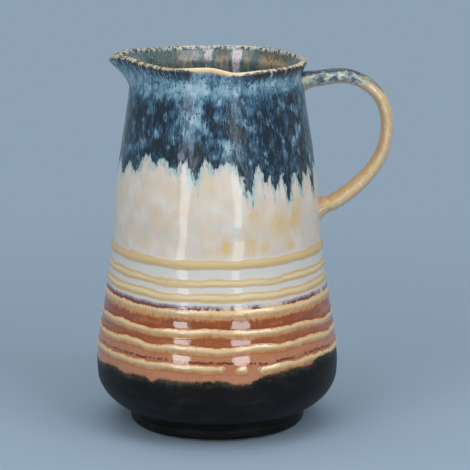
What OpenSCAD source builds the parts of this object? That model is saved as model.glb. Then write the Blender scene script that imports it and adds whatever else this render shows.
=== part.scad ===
// Stoneware jug: a wheel-thrown pitcher with a turned foot, a pulled spout
// and a pulled strap handle, dipped in bands of coloured glaze.
// The origin is on the ground under the middle of the foot, with +Z up.
// The handle points along +X and the spout along -X.

/* [Body] */
// Height of the rim above the ground
jug_h = 210; // [190:1:230]
// Diameter of the belly, its widest part
belly_d = 138; // [126:1:150]
// Height of the widest part of the belly
belly_z = 38; // [34:1:44]
// Diameter of the neck, where it is narrowest
neck_d = 96; // [90:1:106]
// Depth of the narrowest part of the neck below the rim
neck_drop = 9; // [7:0.5:11]
// Diameter over the lip
rim_d = 101; // [98:0.5:112]
// Thickness of the thrown wall
wall_t = 5; // [4:0.25:6.5]
// Thickness of the rolled lip
lip_t = 4.4; // [3.6:0.2:5.6]
// Thickness of the floor
floor_t = 6.5; // [5:0.5:9]

/* [Foot] */
// Diameter of the turned foot
foot_d = 100; // [90:1:110]
// Height of the turned foot
foot_h = 6.8; // [5:0.2:9]
// Width of the foot ring where it stands
ring_w = 6.5; // [5:0.5:9]
// Radius that rounds the foot into the ground
foot_round = 4; // [2:0.2:4.6]
// Depth of the turned groove above the foot
groove = 0.6; // [0.3:0.1:1]

/* [Spout] */
// How far the spout is pulled out past the lip
spout_reach = 9.8; // [7:0.2:14]
// Height of the wall that the spout is pulled from
spout_h = 17; // [13:0.5:20]
// Half of the angle that the pulled spout takes up
spout_half = 17; // [13:1:22]
// Height of the highest wave of the hand-finished rim
rim_wave = 2.4; // [0.5:0.1:3.5]

/* [Handle] */
// Height of the middle of the upper handle root
top_root_z = 196; // [188:0.5:199]
// Height of the middle of the lower handle root
low_root_z = 122.8; // [112:0.2:134]
// How far the middle of the strap stands out from the upper root
handle_reach = 46.7; // [38:0.1:56]
// Width of the strap
strap_w = 17; // [14:0.5:22]
// Thickness of the strap
strap_t = 7.4; // [6:0.2:10]
// Length of the clay wads that join the strap to the wall
wad_l = 7; // [5:0.5:9]
// How far a wad spreads past the strap where it meets the wall
wad_flare = 1.2; // [0.6:0.1:2]

/* [Glaze] */
// Thickness of a glaze coat
glaze_t = 0.5; // [0.3:0.05:0.8]
// Extra thickness where the blue glaze lies over the cream
drip_t = 0.4; // [0.2:0.05:0.7]
// Height of the unglazed line round the foot
bare_h = 1.2; // [0.8:0.1:2]
// Height where the black base coat ends
black_top = 41; // [37:0.5:45]
// Height where the amber coat ends
amber_top = 80.5; // [74:0.5:86]
// Height where the cream coat ends under the blue
cream_top = 163; // [156:0.5:170]
// Length of the longest drip of blue
drip_h = 28; // [18:0.5:34]
// How far the blue glaze runs down inside the lip
inside_run = 11; // [8:0.5:13]

/* [Ridges] */
// Height that a raised ridge of the amber band stands out
ridge_out = 0.8; // [0.3:0.05:1.2]
// Half of the height of a ridge of the amber band
ridge_half = 2.6; // [1.8:0.1:3.2]
// Height that a ripple of the cream band stands out
ripple_out = 0.35; // [0.1:0.05:0.7]
// Half of the height of a ripple of the cream band
ripple_half = 2.9; // [2:0.1:3.4]

/* [Hidden] */

// Round surfaces and the counts of the facets that the hand-shaped ones have
$fn = 180;
around = 96;
lip_steps = 6;
top_steps = 6;
inner_arc_steps = 12;
foot_arc_steps = 8;
strap_sides = 16;
strap_rings = 24;
// Spacing of the outline's points, plain and on the ridges
coarse = jug_h / 40;
fine = ridge_half / 3.5;
// Overrun of every cut
over = wall_t;
// Running space between a faceted seat and the round wall that it sits on
seat_gap = glaze_t / 7;
// Depth and narrowing of the hand-shaped rim where it reaches into the round wall
tenon_h = glaze_t * 2;
tenon_ease = glaze_t / 5;

foot_r = foot_d / 2;
belly_r = belly_d / 2;
neck_r = neck_d / 2;
rim_r = rim_d / 2;
neck_z = jug_h - neck_drop;
top_z = jug_h - spout_h;
lip_r = lip_t / 2;
lip_z = jug_h - lip_r;
recess_share = 0.7;
recess_h = foot_h * recess_share;
recess_r = foot_r - foot_round - ring_w;
floor_z = recess_h + floor_t;
// Inside of the bowl: how high it curves and how wide its flat floor is
inner_bowl_share = 0.75;
inner_bowl_z = belly_z * inner_bowl_share;
inner_floor_share = 0.68;
floor_r = foot_r * inner_floor_share;

// How late the neck flares towards the lip
flare_share = 1.4;
// Half of the height of the groove above the foot
groove_half_share = 1.6;
groove_half = groove * groove_half_share;
// Outline of the bowl from the foot to the belly: height share, width share
bowl_shares = [
    [0, 0], [0.07, 0.06], [0.14, 0.2], [0.23, 0.48], [0.36, 0.715],
    [0.49, 0.865], [0.62, 0.955], [0.8, 0.993], [1, 1]
];
// Outline of the wall from the belly to the neck: height share, narrowing share
wall_shares = [
    [0, 0], [0.074, 0.053], [0.147, 0.144], [0.221, 0.234], [0.3, 0.342],
    [0.362, 0.41], [0.454, 0.47], [0.546, 0.507], [0.638, 0.586],
    [0.73, 0.703], [0.8, 0.788], [0.9, 0.89], [0.96, 0.94], [1, 1]
];
// Places of the amber ridges and the cream ripples within their bands
ridge_place_shares = [0.19, 0.453, 0.671, 0.924];
ripple_place_shares = [0.095, 0.193, 0.285];
// Sizes of the cream ripples, lowest first
ripple_size_shares = [0.7, 0.8, 1];
// Height of the rim round the jug: angle, share of the highest wave
rim_shares = [
    [0, -0.45], [30, -0.2], [60, 0], [95, -0.05], [125, 0.12], [148, 0.55],
    [164, 1], [180, 0.15], [196, 1], [212, 0.4], [226, 0.15], [240, -0.1],
    [258, 0.31], [267, 0.36], [274, -0.15], [282, -0.78], [300, -0.6],
    [330, -0.55]
];
// Lower edge of the blue glaze: angle, share of the longest drip
drip_shares = [
    [4, 0.35], [13, 0.8], [22, 0.3], [31, 0.65], [39, 0.25], [50, 0.9],
    [60, 0.3], [67, 0.5], [73, 0.2], [84, 0.7], [94, 0.25], [101, 0.4],
    [108, 0.15], [119, 0.6], [128, 0.2], [140, 0.75], [150, 0.3],
    [158, 0.55], [166, 0.2], [181, 0.64], [190, 0.3], [200, 0.55],
    [208, 0.3], [216, 0.42], [225, 0.06], [232, 0.23], [235, 0.07],
    [247, 0.3], [251, 0.08], [258, 0.43], [262, 0.16], [265, 0.08],
    [268, 0.27], [277, 0.12], [283, 0.3], [289, 0.74], [295, 0.22],
    [299, 0.53], [302, 0.42], [305, 0.69], [310, 0.43], [315, 0.95],
    [319, 0.5], [323, 0.51], [326, 0.77], [330, 0.5], [334, 0.56],
    [337, 0.4], [341, 0.95], [347, 0.4], [353, 0.5]
];
// Middle line of the strap between its wads: share of its reach, share of the
// spacing of its roots
strap_shares = [
    [0.42, 1.046], [0.615, 1.027], [0.786, 0.967], [0.93, 0.863],
    [0.998, 0.715], [0.996, 0.585], [0.944, 0.447], [0.835, 0.325],
    [0.687, 0.216], [0.502, 0.116]
];
// Rise of the upper wad, as a share of its length, and slope of the lower one
top_rise_share = 0.25;
low_slope = 31;
// Thickness of the strap along its length
strap_size_shares = [
    [0, 1.2], [0.2, 1.06], [0.5, 0.98], [0.8, 1.14], [1, 1.22]
];

// Soft step from 0 to 1 over the span a to b
function ease(v, a, b) =
    let (t = min(1, max(0, (v - a) / (b - a)))) t * t * (3 - 2 * t);

function mix(a, b, t) = a + (b - a) * t;

// Slope of a table of points at point i
function slope(t, i) =
    let (a = max(0, i - 1), b = min(len(t) - 1, i + 1))
    (t[b][1] - t[a][1]) / (t[b][0] - t[a][0]);

// Stretch of the table that v lies in
function span(t, v, i = 0) =
    i >= len(t) - 2 || v < t[i + 1][0] ? i : span(t, v, i + 1);

// Smooth curve through a table of points
function curve(t, v) =
    let (
        i = span(t, v),
        w = t[i + 1][0] - t[i][0],
        u = (v - t[i][0]) / w
    )
    t[i][1] * (1 + 2 * u) * (1 - u) * (1 - u)
    + w * slope(t, i) * u * (1 - u) * (1 - u)
    + t[i + 1][1] * u * u * (3 - 2 * u)
    - w * slope(t, i + 1) * u * u * (1 - u);

// A table of angles closed round the turn, so that it joins up smoothly
function closed(t) = concat(
    [[t[len(t) - 1][0] - 360, t[len(t) - 1][1]]],
    t,
    [[t[0][0] + 360, t[0][1]], [t[1][0] + 360, t[1][1]]]
);
rim_turn = closed(rim_shares);
drip_turn = closed(drip_shares);

// Radius of the plain outline without ridges
function plain_r(z) =
    (z < foot_round ? foot_r - foot_round + sqrt(pow(foot_round, 2) - pow(foot_round - z, 2))
    : z < foot_h ? foot_r
    : z < belly_z ? mix(foot_r, belly_r, curve(bowl_shares, (z - foot_h) / (belly_z - foot_h)))
    : z < neck_z ? mix(belly_r, neck_r, curve(wall_shares, (z - belly_z) / (neck_z - belly_z)))
    : mix(neck_r, rim_r, pow((z - neck_z) / (lip_z - neck_z), flare_share)))
    - groove * bump(z, foot_h, groove_half);

// Raised ring of half height w at height at
function bump(z, at, w) =
    abs(z - at) < w ? (1 + cos(180 * (z - at) / w)) / 2 : 0;

function ridge_z(i) = mix(black_top, amber_top, ridge_place_shares[i]);
function ripple_z(i) = mix(amber_top, cream_top, ripple_place_shares[i]);

function sum(v, i = 0) = i < len(v) ? v[i] + sum(v, i + 1) : 0;

// Radius of the finished outside
function out_r(z) =
    plain_r(z)
    + ridge_out * sum([for (i = [0:len(ridge_place_shares) - 1]) bump(z, ridge_z(i), ridge_half)])
    + ripple_out * sum([
        for (i = [0:len(ripple_place_shares) - 1])
            ripple_size_shares[i] * bump(z, ripple_z(i), ripple_half)
    ]);

// Radius of the finished inside of the wall
function wall_in_r(z) = plain_r(z) - mix(wall_t, lip_t, ease(z, neck_z - neck_drop, lip_z));

// Heights from a to b, at most step apart
function heights(a, b, step) =
    let (n = ceil((b - a) / step)) [for (i = [0:n]) mix(a, b, i / n)];

// Outside points at the given heights, moved in by d
function out_points(zs, d = 0) = [for (z = zs) [out_r(z) - d, z]];
function back(v) = [for (i = [len(v) - 1:-1:0]) v[i]];

// Two runs of heights in one, without the height that they share
function joined(a, b) = concat(a, [for (i = [1:len(b) - 1]) b[i]]);

foot_top = foot_h + 2 * groove;
foot_side_zs = heights(foot_round, foot_top, groove / 2);
bowl_zs = heights(foot_top, black_top, coarse / 2);
bare_zs = heights(0, bare_h, bare_h / 3);
arc_zs = heights(bare_h, foot_round, foot_round / foot_arc_steps);
black_zs = joined(arc_zs, joined(foot_side_zs, bowl_zs));
amber_zs = heights(black_top, amber_top, fine);
ripple_end = ripple_z(len(ripple_place_shares) - 1) + ripple_half;
cream_zs = joined(heights(amber_top, ripple_end, fine * 1.3), heights(ripple_end, cream_top, coarse));
neck_zs = heights(cream_top, top_z, coarse);
clay_zs = joined(bare_zs, joined(black_zs, joined(amber_zs, joined(cream_zs, neck_zs))));

// Inside of the jug, from the middle of the floor to the top of the round part
function inner_points(d) = concat(
    [for (i = [0:inner_arc_steps]) let (a = 90 * i / inner_arc_steps)
        [
            mix(floor_r, wall_in_r(inner_bowl_z), sin(a)) + d * sin(a),
            mix(inner_bowl_z, floor_z, cos(a)) + (glaze_t - d) * cos(a)
        ]
    ],
    [for (z = heights(inner_bowl_z, top_z, coarse)) if (z > inner_bowl_z) [wall_in_r(z) + d, z]]
);

// Section over the lip, up the outside and down the inside, moved in by d. Its
// two lower ends reach into the round part as tenons, narrower there by e.
lip_zs = [for (i = [1:top_steps]) mix(top_z, lip_z, i / top_steps)];
function lip_section(d, e) = concat(
    [for (z = [top_z - tenon_h, top_z]) [plain_r(top_z) - d - e, z]],
    [for (z = lip_zs) [plain_r(z) - d, z]],
    [for (i = [1:lip_steps - 1]) let (a = 180 * i / lip_steps)
        [rim_r - lip_r + (lip_r - d) * cos(a), lip_z + (lip_r - d) * sin(a)]],
    [for (z = back(lip_zs)) [wall_in_r(z) + d, z]],
    [for (z = [top_z, top_z - tenon_h]) [wall_in_r(top_z) + d + e, z]]
);
section_last = 2 * (top_steps + 1) + lip_steps;
liner_first = section_last - 1 - round(top_steps * (spout_h - inside_run) / (lip_z - top_z));

// Pull of the spout and wave of the rim, applied to a point of the section
function shaped(p, a) =
    let (
        pull = spout_reach * exp(-pow((a - 180) / spout_half, 2)) * ease(p[1], top_z, lip_z),
        lift = rim_wave * curve(rim_turn, a) * ease(p[1], top_z, jug_h)
    )
    [(p[0] + pull) * cos(a), (p[0] + pull) * sin(a), p[1] + lift];

// Closed skin through rings of points, joined round and from ring to ring
module ring_solid(rings, closed_end = false) {
    n = len(rings[0]);
    m = len(rings);
    points = [for (r = rings) each r];
    sides = [
        for (j = [0:m - (closed_end ? 1 : 2)], i = [0:n - 1])
            let (
                a = j * n + i,
                b = j * n + (i + 1) % n,
                c = ((j + 1) % m) * n + (i + 1) % n,
                d = ((j + 1) % m) * n + i
            )
            each [[a, c, b], [a, d, c]]
    ];
    caps = closed_end ? [] : [
        for (i = [1:n - 2]) each [[0, i, i + 1], [(m - 1) * n, (m - 1) * n + i + 1, (m - 1) * n + i]]
    ];
    polyhedron(points, concat(sides, caps));
}

// Ring round the jug through one point of the section
function turned(p) = [for (i = [0:around - 1]) let (a = 360 * i / around) shaped(p, a)];

// Coat of glaze on the upper wall, between two points of the section
module top_coat(first, last) {
    outer = lip_section(0, tenon_ease);
    inner = lip_section(glaze_t, -tenon_ease);
    ring_solid(concat(
        [for (i = [first:last]) turned(outer[i])],
        [for (i = [last:-1:first]) turned(inner[i])]
    ), true);
}

// Coat of glaze on the outside of the round part
module coat(zs) {
    rotate_extrude()
        polygon(concat(out_points(zs), back(out_points(zs, glaze_t))));
}

root_r = out_r(top_root_z);
root_span = top_root_z - low_root_z;
strap_line = concat(
    [[root_r + wad_l, top_root_z + wad_l * top_rise_share]],
    [for (p = strap_shares) [root_r + handle_reach * p[0], low_root_z + root_span * p[1]]],
    [[out_r(low_root_z) + wad_l * cos(low_slope), low_root_z + wad_l * sin(low_slope)]]
);
line_last = len(strap_line) - 1;
line_xs = [for (i = [0:line_last]) [i / line_last, strap_line[i][0]]];
line_zs = [for (i = [0:line_last]) [i / line_last, strap_line[i][1]]];
function line_at(s) = [curve(line_xs, s), curve(line_zs, s)];
ring_step = 1 / strap_rings;
function line_dir(s) =
    let (d = line_at(min(1, s + ring_step / 4)) - line_at(max(0, s - ring_step / 4)))
    d / norm(d);

// Oval ring across the strap, moved in by d
function strap_ring(s, d) =
    let (
        c = line_at(s),
        v = line_dir(s),
        t = strap_t / 2 * curve(strap_size_shares, s) - d,
        w = strap_w / 2 - d
    )
    [for (i = [0:strap_sides - 1]) let (a = -360 * i / strap_sides)
        [c[0] - v[1] * t * cos(a), w * sin(a), c[1] + v[0] * t * cos(a)]];

// Half height of a wad on the wall
function wad_h(low) =
    strap_t / 2 * strap_size_shares[low ? len(strap_size_shares) - 1 : 0][1] / (low ? cos(low_slope) : 1)
    + wad_flare;

// Outline of a wad on the wall, as seen along X, moved in by d and shrunk to k
function foot_print(low, d, k = 1) =
    [for (i = [0:strap_sides - 1]) let (a = -360 * i / strap_sides)
        [
            k * (strap_w / 2 + wad_flare - d) * sin(a),
            (low ? low_root_z : top_root_z) + (low ? -k : k) * (wad_h(low) - d) * cos(a)
        ]];

// The same outline laid on the wall, the glaze of which is left off by depth
function laid(print, depth) =
    [for (p = print)
        [sqrt(pow(out_r(p[1]) - depth + seat_gap, 2) - p[0] * p[0]), p[0], p[1]]];

// Rings of a wad's seat on the wall, as shares of its outline
seat_shares = [0.25, 0.5, 1];
// Rings of the hollow curve from the outline on the wall to the strap
wad_blend_shares = [0, 0.15, 0.45];
function wad_rings(low, d) =
    let (foot = laid(foot_print(low, d), 0), end = strap_ring(low ? 1 : 0, d))
    [for (t = wad_blend_shares) let (f = 1 - (1 - t) * (1 - t))
        [for (i = [0:strap_sides - 1]) [
            mix(foot[i][0], end[i][0], t),
            mix(foot[i][1], end[i][1], f),
            mix(foot[i][2], end[i][2], f)
        ]]
    ];

// All rings of the strap and of its two wads down to the glaze of the wall
function strap_skin(d) = concat(
    wad_rings(false, d),
    [for (i = [0:strap_rings]) strap_ring(i * ring_step, d)],
    back(wad_rings(true, d))
);

// Clay wad between the wall and one end of the strap
module wad(low) {
    rings = concat(
        [for (k = seat_shares) laid(foot_print(low, glaze_t, k), glaze_t)],
        wad_rings(low, glaze_t),
        [strap_ring(low ? 1 : 0, glaze_t)]
    );
    ring_solid(low ? back(rings) : rings);
}

// Hole in the glaze of the wall, where a wad holds to the clay
module wad_hole(low) {
    rotate([90, 0, 90])
        linear_extrude(height = belly_r + over)
            polygon(foot_print(low, glaze_t));
}

// Drips of blue glaze that hang over the cream, in rows from their tips up to
// the top of the cream coat
drip_row_shares = [0, 0.35, 0.7];
function drip_row(t, out) = [
    for (i = [0:around - 1])
        let (
            a = 360 * i / around,
            z = mix(cream_top - drip_h * curve(drip_turn, a), cream_top, t),
            r = out_r(z) + out
        )
        [r * cos(a), r * sin(a), z]
];

// Rows of the blue coat above the cream, on its outside and on the clay
blue_zs = heights(cream_top, top_z, 2 * coarse);
function blue_side(z) = turned([out_r(z) + drip_t * (1 - ease(z, cream_top, top_z)), z]);
function clay_side(z) = turned([out_r(z) - glaze_t, z]);

module body() color("#b8a68c") {
    rotate_extrude()
        polygon(concat(
            [[recess_r, 0]],
            out_points(clay_zs, glaze_t),
            back(inner_points(glaze_t)),
            [[0, floor_z], [0, recess_h], [recess_r - recess_h / 2, recess_h]]
        ));
    ring_solid([for (p = lip_section(glaze_t, tenon_ease)) turned(p)], true);
}

module handle() color("#b8a68c") {
    ring_solid([for (i = [0:strap_rings]) strap_ring(i * ring_step, glaze_t)]);
}

module handle_wad_upper() color("#b8a68c") {
    wad(false);
}

module handle_wad_lower() color("#b8a68c") {
    wad(true);
}

module liner_glaze() color("#8799a0") {
    rotate_extrude()
        polygon(concat(
            [[0, floor_z]],
            inner_points(glaze_t),
            back(inner_points(0)),
            [[0, floor_z + glaze_t]]
        ));
    top_coat(liner_first, section_last);
}

module blue_glaze() color("#3f5d7c") {
    difference() {
        ring_solid(concat(
            [for (t = drip_row_shares) drip_row(t, drip_t)],
            [for (z = blue_zs) blue_side(z)],
            [for (i = [2:liner_first]) turned(lip_section(0, 0)[i])],
            [for (i = [liner_first:-1:2]) turned(lip_section(glaze_t, 0)[i])],
            [for (z = back(blue_zs)) clay_side(z)],
            [for (t = concat([1], back(drip_row_shares))) drip_row(t, seat_gap)]
        ), true);
        wad_hole(false);
    }
}

module cream_glaze() color("#dccfb8") {
    difference() {
        coat(cream_zs);
        wad_hole(true);
    }
}

module amber_glaze() color("#b4693c") {
    coat(amber_zs);
}

module black_glaze() color("#1d1f22") {
    coat(black_zs);
}

module handle_glaze() color("#ddbc84") {
    ring_solid(concat(strap_skin(0), back(strap_skin(glaze_t))), true);
}

body();
handle();
handle_wad_upper();
handle_wad_lower();
liner_glaze();
blue_glaze();
cream_glaze();
amber_glaze();
black_glaze();
handle_glaze();
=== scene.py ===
# A thrown stoneware jug in its running glazes, on a plain studio floor.
import math
from bisect import bisect_right
from collections import namedtuple
from functools import lru_cache

import bmesh
import bpy
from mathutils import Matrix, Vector, noise


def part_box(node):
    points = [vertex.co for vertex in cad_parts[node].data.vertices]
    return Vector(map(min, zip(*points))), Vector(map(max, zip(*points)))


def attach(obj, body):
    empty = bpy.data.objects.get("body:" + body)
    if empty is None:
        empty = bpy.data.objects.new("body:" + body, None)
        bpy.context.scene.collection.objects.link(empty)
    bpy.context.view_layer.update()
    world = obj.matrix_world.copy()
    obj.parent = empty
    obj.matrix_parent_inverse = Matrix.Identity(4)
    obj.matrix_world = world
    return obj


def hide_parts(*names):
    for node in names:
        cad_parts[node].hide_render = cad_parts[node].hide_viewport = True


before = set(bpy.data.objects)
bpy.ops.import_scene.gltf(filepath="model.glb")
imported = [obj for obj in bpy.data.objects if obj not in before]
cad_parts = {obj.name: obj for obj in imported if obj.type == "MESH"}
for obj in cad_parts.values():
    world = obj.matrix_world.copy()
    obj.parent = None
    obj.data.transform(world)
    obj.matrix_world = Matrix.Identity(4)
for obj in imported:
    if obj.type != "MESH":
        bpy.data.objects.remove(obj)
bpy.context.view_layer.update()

# Every length is in millimetres until it becomes a mesh, a lamp or a camera
MM = 0.001


def corners(node):
    """Lowest and highest corner of a piece of the frame."""
    return [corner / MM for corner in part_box(node)]


# Heights where the coats of glaze meet
BARE_H = corners("black_glaze")[0].z
BLACK_TOP = corners("black_glaze")[1].z
AMBER_TOP = corners("amber_glaze")[1].z
CREAM_TOP = corners("cream_glaze")[1].z

# Sizes of the thrown wall, as its solid has them
JUG_H = 210
BELLY_R = 69
BELLY_Z = 38
NECK_R = 48
NECK_DROP = 9
NECK_Z = JUG_H - NECK_DROP
RIM_R = 50.5
WALL_T = 5
LIP_T = 4.4
LIP_R = LIP_T / 2
LIP_Z = JUG_H - LIP_R
FOOT_R = 50
FOOT_H = 6.8
FOOT_ROUND = 4
RING_W = 6.5
GROOVE = 0.6
GROOVE_HALF = 0.96
RECESS_H = 0.7 * FOOT_H
RECESS_R = FOOT_R - FOOT_ROUND - RING_W
FLOOR_Z = RECESS_H + 6.5
FLOOR_R = 0.68 * FOOT_R
BOWL_Z = 0.75 * BELLY_Z
FLARE = 1.4
BOWL_SHARES = [
    (0, 0), (0.07, 0.06), (0.14, 0.2), (0.23, 0.48), (0.36, 0.715), (0.49, 0.865),
    (0.62, 0.955), (0.8, 0.993), (1, 1),
]
WALL_SHARES = [
    (0, 0), (0.074, 0.053), (0.147, 0.144), (0.221, 0.234), (0.3, 0.342), (0.362, 0.41),
    (0.454, 0.47), (0.546, 0.507), (0.638, 0.586), (0.73, 0.703), (0.8, 0.788), (0.9, 0.89),
    (0.96, 0.94), (1, 1),
]

# Sizes of the spout and of the hand-finished rim
SPOUT_REACH = 9.8
SPOUT_H = 17
SPOUT_HALF = 17
TOP_Z = JUG_H - SPOUT_H
RIM_WAVE = 2.4
RIM_SHARES = [
    (0, -0.45), (30, -0.2), (60, 0), (95, -0.05), (125, 0.12), (148, 0.55), (164, 1),
    (180, 0.15), (196, 1), (212, 0.4), (226, 0.15), (240, -0.1), (258, 0.31), (267, 0.36),
    (274, -0.15), (282, -0.78), (300, -0.6), (330, -0.55),
]

# Sizes of the glaze coats and of the blue glaze's drips
GLAZE_T = 0.5
DRIP_T = 0.4
DRIP_H = 28
BLUE_INSIDE_Z = 198
DRIP_SHARES = [
    (4, 0.35), (13, 0.8), (22, 0.3), (31, 0.65), (39, 0.25), (50, 0.9), (60, 0.3), (67, 0.5),
    (73, 0.2), (84, 0.7), (94, 0.25), (101, 0.4), (108, 0.15), (119, 0.6), (128, 0.2),
    (140, 0.75), (150, 0.3), (158, 0.55), (166, 0.2), (181, 0.64), (190, 0.3), (200, 0.55),
    (208, 0.3), (216, 0.42), (225, 0.06), (232, 0.23), (235, 0.07), (247, 0.3), (251, 0.08),
    (258, 0.43), (262, 0.16), (265, 0.08), (268, 0.27), (277, 0.12), (283, 0.3), (289, 0.74),
    (295, 0.22), (299, 0.53), (302, 0.42), (305, 0.69), (310, 0.43), (315, 0.95), (319, 0.5),
    (323, 0.51), (326, 0.77), (330, 0.5), (334, 0.56), (337, 0.4), (341, 0.95), (347, 0.4),
    (353, 0.5),
]

# Sizes of the pulled strap handle
TOP_ROOT_Z = 196
LOW_ROOT_Z = 122.8
HANDLE_REACH = 46.7
STRAP_W = 17
STRAP_T = 7.4
STRAP_LENGTH = 130
WAD_L = 7
WAD_FLARE = 1.2
TOP_RISE = 0.25 * WAD_L
LOW_SLOPE = math.radians(31)
STRAP_SHARES = [
    (0.42, 1.046), (0.615, 1.027), (0.786, 0.967), (0.93, 0.863), (0.998, 0.715),
    (0.996, 0.585), (0.944, 0.447), (0.835, 0.325), (0.687, 0.216), (0.502, 0.116),
]
STRAP_SIZE_SHARES = [(0, 1.2), (0.2, 1.06), (0.5, 0.98), (0.8, 1.14), (1, 1.22)]

# Counts of the facets round the jug, round the strap, and along the strap and its wads
COLUMNS = 480
STRAP_COLUMNS = 64
STRAP_ROWS = 110
WAD_ROWS = 9
SHARP_ANGLE = math.radians(40)
# Points this close are one point
WELD_GAP = 0.01


def mix(a, b, t):
    """Value at a share t of the way from a to b."""
    return a + (b - a) * t


def ease(v, a, b):
    """Soft step from 0 to 1 over the span a to b."""
    t = min(1, max(0, (v - a) / (b - a)))
    return t * t * (3 - 2 * t)


def bump(v, half):
    """Rounded hill of height 1 that ends at half on both sides."""
    return (1 + math.cos(math.pi * v / half)) / 2 if abs(v) < half else 0


def curve(points, turn=False):
    """Smooth function through points. With turn, the points are angles in degrees round the jug."""
    if turn:
        before = [(x - 360, y) for x, y in points[-1:]]
        after = [(x + 360, y) for x, y in points[:2]]
        points = before + points + after
    xs = [x for x, _ in points]
    ys = [y for _, y in points]
    end = len(points) - 1

    def slope(i):
        a, b = max(0, i - 1), min(end, i + 1)
        return (ys[b] - ys[a]) / (xs[b] - xs[a])

    slopes = [slope(i) for i in range(end + 1)]

    @lru_cache(maxsize=None)
    def at(v):
        i = min(max(bisect_right(xs, v) - 1, 0), end - 1)
        w = xs[i + 1] - xs[i]
        u = (v - xs[i]) / w
        return (
            ys[i] * (1 + 2 * u) * (1 - u) ** 2 + w * slopes[i] * u * (1 - u) ** 2
            + ys[i + 1] * u * u * (3 - 2 * u) - w * slopes[i + 1] * u * u * (1 - u)
        )

    return at


def steps(a, b, step):
    """Even values from a to b, at most step apart."""
    count = math.ceil(abs(b - a) / step)
    return [mix(a, b, i / count) for i in range(count + 1)]


bowl_share = curve(BOWL_SHARES)
wall_share = curve(WALL_SHARES)
rim_share = curve(RIM_SHARES, turn=True)
drip_share = curve(DRIP_SHARES, turn=True)


def wander(angle, seed, size):
    """Slow random sway round the jug, between -1 and 1; size is the length of a sway in degrees."""
    across = 180 / math.pi / size
    turn = math.radians(angle)
    return noise.noise(Vector((across * math.cos(turn), across * math.sin(turn), seed)))


@lru_cache(maxsize=None)
def plain_r(z):
    """Radius of the plain outline without rings."""
    if z < FOOT_ROUND:
        r = FOOT_R - FOOT_ROUND + math.sqrt(FOOT_ROUND ** 2 - (FOOT_ROUND - z) ** 2)
    elif z < FOOT_H:
        r = FOOT_R
    elif z < BELLY_Z:
        r = mix(FOOT_R, BELLY_R, bowl_share((z - FOOT_H) / (BELLY_Z - FOOT_H)))
    elif z < NECK_Z:
        r = mix(BELLY_R, NECK_R, wall_share((z - BELLY_Z) / (NECK_Z - BELLY_Z)))
    else:
        r = mix(NECK_R, RIM_R, max(0, (z - NECK_Z) / (LIP_Z - NECK_Z)) ** FLARE)
    return r - GROOVE * bump(z - FOOT_H, GROOVE_HALF)


# Raised rings of the wall: middle height, how far they stand out, half of their height,
# sway of their height round the jug, and their gaps, as the middle and half width in degrees
Ring = namedtuple("Ring", "z out half sway breaks")
RINGS = [
    Ring(mix(BLACK_TOP, AMBER_TOP, 0.175), 0.85, 2.6, [
        (30, 0), (90, 0.4), (150, -0.3), (200, 0), (217, 0.4), (236, 0.1), (270, -0.2), (291, -1.4),
        (299, -1.1), (311, -0.5), (328, 0), (338, -1.2),
    ], [(276.1, 3.4), (287.6, 3.4)]),
    Ring(mix(BLACK_TOP, AMBER_TOP, 0.436), 0.88, 2.6, [
        (40, 0.3), (110, -0.3), (180, 0.1), (208, -0.5), (220, 0.8), (228, 0.7), (236, -0.9),
        (246, 0.1), (266, -0.5), (272, -1.1), (287, 0.3), (302, -0.3), (318, 0.3), (326, -0.1),
        (336, -1.3),
    ], []),
    Ring(mix(BLACK_TOP, AMBER_TOP, 0.655), 0.82, 2.5, [
        (40, -0.4), (110, 0.2), (180, 0.3), (208, 0.2), (217, 0.6), (226, 0), (240, -0.2), (256, 0),
        (269, 0.9), (286, -0.3), (302, -0.4), (311, 0.3), (321, 0.1), (330, -1.1), (338, -1.6),
    ], []),
    Ring(mix(BLACK_TOP, AMBER_TOP, 0.924), 0.7, 2.6, [
        (40, 0.2), (110, -0.2), (170, 0.5), (217, 0.8), (270, 0), (330, 0.3),
    ], []),
    Ring(86.2, 0.34, 2.8, [(60, 0.3), (150, -0.3), (270, 0)], []),
    Ring(94.2, 0.4, 2.6, [(60, -0.3), (150, 0.3), (270, 0)], []),
    Ring(104.2, 0.6, 3.4, [(60, 0.2), (150, -0.3), (270, 0)], []),
]
ring_sways = [curve(ring.sway, turn=True) for ring in RINGS]
# Chance sway of a ring's size and of its height, and the length of each in degrees
SIZE_SWAY = 0.3
SIZE_SWAY_L = 7
RING_SWAY = 0.5
RING_SWAY_L = 9


@lru_cache(maxsize=None)
def ring_at(i, angle):
    """Height of a ring's crest at an angle, and its size there as a share of its full size."""
    ring = RINGS[i]
    size = 0.97 + SIZE_SWAY * wander(angle, 3 * i, SIZE_SWAY_L)
    for middle, half in ring.breaks:
        size *= ease(abs(angle - middle), half - 1.1, half + 0.7)
    sway = ring_sways[i](angle) + RING_SWAY * wander(angle, 7 * i + 1, RING_SWAY_L)
    return ring.z + sway, size


@lru_cache(maxsize=None)
def relief(angle, z):
    """How far the rings stand out, the size of the nearest one, and the rise above its crest."""
    out = 0
    nearest = 0
    rise = JUG_H
    for i, ring in enumerate(RINGS):
        crest, size = ring_at(i, angle)
        out += ring.out * size * bump(z - crest, ring.half)
        if abs(z - crest) < abs(rise):
            nearest, rise = size, z - crest
    return out, nearest, rise


# Depth and width of the soft dents that throwing leaves in the wall
DENT = 0.34
DENT_SIZE = 18
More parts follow.
